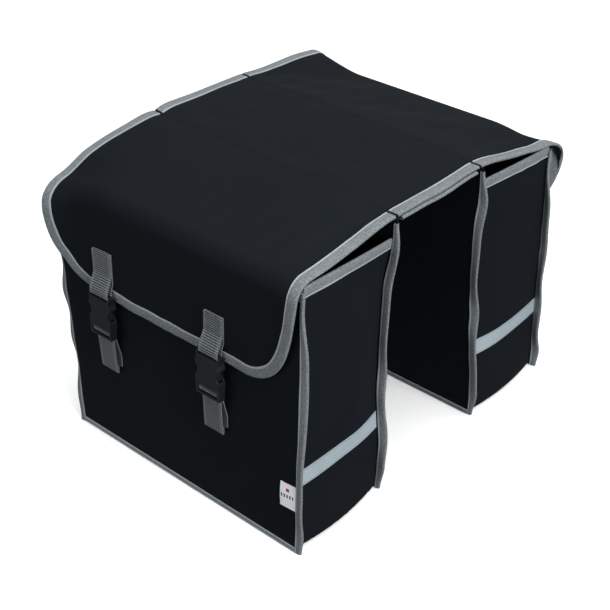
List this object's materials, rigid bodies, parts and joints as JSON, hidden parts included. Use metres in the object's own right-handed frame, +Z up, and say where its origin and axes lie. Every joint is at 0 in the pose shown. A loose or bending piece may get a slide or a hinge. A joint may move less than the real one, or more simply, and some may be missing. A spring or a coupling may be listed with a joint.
{
  "type": "double pannier bag",
  "caption": "Double bicycle pannier: open-topped fabric bags joined by a yoke over the rack, each with a folding flap held by side-release buckles.",
  "frame": {"origin": "on the ground, midway between the two bags and midway along them", "axes": "+X along the bike towards its rear, +Y across it to its right, +Z up"},
  "size_m": [0.3624, 0.461, 0.3412],
  "materials": {
    "fabric": "black coated polyester weave, matt",
    "lining": "black coated lining",
    "tape": "grey ribbed binding tape",
    "webbing": "grey woven webbing",
    "buckle": "black moulded acetal, satin",
    "reflective": "silver-grey reflective tape",
    "board": "polyethylene stiffener",
    "label": "white satin tag, blank"
  },
  "bodies": {
    "yoke": {"yoke_panel": "fabric", "yoke_lining": "lining", "yoke_front_binding": "tape", "yoke_rear_binding": "tape"},
    "left_bag": {"left_outer_panel": "fabric", "left_inner_panel": "fabric", "left_front_end_panel": "fabric", "left_rear_end_panel": "fabric", "left_base_panel": "fabric", "left_base_board": "board", "left_inner_board": "board", "left_outer_board": "board", "left_outer_binding": "tape", "left_inner_binding": "tape", "left_mouth_binding": "tape", "left_front_reflector": "reflective", "left_rear_reflector": "reflective", "left_front_lower_strap": "webbing", "left_rear_lower_strap": "webbing", "left_label": "label"},
    "left_flap": {"left_flap": "fabric", "left_flap_binding": "tape", "left_front_upper_strap": "webbing", "left_rear_upper_strap": "webbing", "left_front_socket": "buckle", "left_rear_socket": "buckle"},
    "left_rear_clip": {"left_rear_clip": "buckle"},
    "left_rear_prong_a": {"left_rear_prong_a": "buckle"},
    "left_rear_prong_b": {"left_rear_prong_b": "buckle"},
    "left_front_clip": {"left_front_clip": "buckle"},
    "left_front_prong_a": {"left_front_prong_a": "buckle"},
    "left_front_prong_b": {"left_front_prong_b": "buckle"},
    "right_bag": {"right_outer_panel": "fabric", "right_inner_panel": "fabric", "right_front_end_panel": "fabric", "right_rear_end_panel": "fabric", "right_base_panel": "fabric", "right_base_board": "board", "right_inner_board": "board", "right_outer_board": "board", "right_outer_binding": "tape", "right_inner_binding": "tape", "right_mouth_binding": "tape", "right_front_reflector": "reflective", "right_rear_reflector": "reflective", "right_front_lower_strap": "webbing", "right_rear_lower_strap": "webbing"},
    "right_flap": {"right_flap": "fabric", "right_flap_binding": "tape", "right_front_upper_strap": "webbing", "right_rear_upper_strap": "webbing", "right_front_socket": "buckle", "right_rear_socket": "buckle"},
    "right_front_clip": {"right_front_clip": "buckle"},
    "right_front_prong_a": {"right_front_prong_a": "buckle"},
    "right_front_prong_b": {"right_front_prong_b": "buckle"},
    "right_rear_clip": {"right_rear_clip": "buckle"},
    "right_rear_prong_a": {"right_rear_prong_a": "buckle"},
    "right_rear_prong_b": {"right_rear_prong_b": "buckle"}
  },
  "joints": [
    {"name": "left_bag_swing", "type": "hinge", "parent": "yoke", "child": "left_bag", "pos_m": [0, -0.069, 0.34], "axis": [1, 0, 0], "range_deg": [-90, 10]},
    {"name": "left_flap_hinge", "type": "hinge", "parent": "left_bag", "child": "left_flap", "pos_m": [0, -0.069, 0.34], "axis": [-1, 0, 0], "range_deg": [0, 120]},
    {"name": "left_rear_clip_slide", "type": "slide", "parent": "left_bag", "child": "left_rear_clip", "axis": [0, -0.0441, -0.999], "range_m": [0, 0.023], "deforming": ["left_rear_lower_strap"]},
    {"name": "left_rear_prong_a_flex", "type": "hinge", "parent": "left_rear_clip", "child": "left_rear_prong_a", "pos_m": [0.0537, -0.22541, 0.1652], "axis": [0, 0.999, -0.0441], "range_deg": [0, 6], "stiffness_Nm_per_rad": 0.005},
    {"name": "left_rear_prong_b_flex", "type": "hinge", "parent": "left_rear_clip", "child": "left_rear_prong_b", "pos_m": [0.0723, -0.22541, 0.1652], "axis": [0, -0.999, 0.0441], "range_deg": [0, 6], "stiffness_Nm_per_rad": 0.005},
    {"name": "left_front_clip_slide", "type": "slide", "parent": "left_bag", "child": "left_front_clip", "axis": [0, -0.0441, -0.999], "range_m": [0, 0.023], "deforming": ["left_front_lower_strap"]},
    {"name": "left_front_prong_a_flex", "type": "hinge", "parent": "left_front_clip", "child": "left_front_prong_a", "pos_m": [-0.1083, -0.22541, 0.1652], "axis": [0, 0.999, -0.0441], "range_deg": [0, 6], "stiffness_Nm_per_rad": 0.005},
    {"name": "left_front_prong_b_flex", "type": "hinge", "parent": "left_front_clip", "child": "left_front_prong_b", "pos_m": [-0.0897, -0.22541, 0.1652], "axis": [0, -0.999, 0.0441], "range_deg": [0, 6], "stiffness_Nm_per_rad": 0.005},
    {"name": "right_bag_swing", "type": "hinge", "parent": "yoke", "child": "right_bag", "pos_m": [0, 0.069, 0.34], "axis": [-1, 0, 0], "range_deg": [-90, 10]},
    {"name": "right_flap_hinge", "type": "hinge", "parent": "right_bag", "child": "right_flap", "pos_m": [0, 0.069, 0.34], "axis": [1, 0, 0], "range_deg": [0, 120]},
    {"name": "right_front_clip_slide", "type": "slide", "parent": "right_bag", "child": "right_front_clip", "axis": [0, 0.0441, -0.999], "range_m": [0, 0.023], "deforming": ["right_front_lower_strap"]},
    {"name": "right_front_prong_a_flex", "type": "hinge", "parent": "right_front_clip", "child": "right_front_prong_a", "pos_m": [-0.0537, 0.22541, 0.1652], "axis": [0, -0.999, -0.0441], "range_deg": [0, 6], "stiffness_Nm_per_rad": 0.005},
    {"name": "right_front_prong_b_flex", "type": "hinge", "parent": "right_front_clip", "child": "right_front_prong_b", "pos_m": [-0.0723, 0.22541, 0.1652], "axis": [0, 0.999, 0.0441], "range_deg": [0, 6], "stiffness_Nm_per_rad": 0.005},
    {"name": "right_rear_clip_slide", "type": "slide", "parent": "right_bag", "child": "right_rear_clip", "axis": [0, 0.0441, -0.999], "range_m": [0, 0.023], "deforming": ["right_rear_lower_strap"]},
    {"name": "right_rear_prong_a_flex", "type": "hinge", "parent": "right_rear_clip", "child": "right_rear_prong_a", "pos_m": [0.1083, 0.22541, 0.1652], "axis": [0, -0.999, -0.0441], "range_deg": [0, 6], "stiffness_Nm_per_rad": 0.005},
    {"name": "right_rear_prong_b_flex", "type": "hinge", "parent": "right_rear_clip", "child": "right_rear_prong_b", "pos_m": [0.0897, 0.22541, 0.1652], "axis": [0, 0.999, 0.0441], "range_deg": [0, 6], "stiffness_Nm_per_rad": 0.005}
  ],
  "couplings": [
    {"joint": "left_rear_prong_b_flex", "follows": "left_rear_prong_a_flex", "ratio": 1},
    {"joint": "left_front_prong_b_flex", "follows": "left_front_prong_a_flex", "ratio": 1},
    {"joint": "right_front_prong_b_flex", "follows": "right_front_prong_a_flex", "ratio": 1},
    {"joint": "right_rear_prong_b_flex", "follows": "right_rear_prong_a_flex", "ratio": 1}
  ]
}
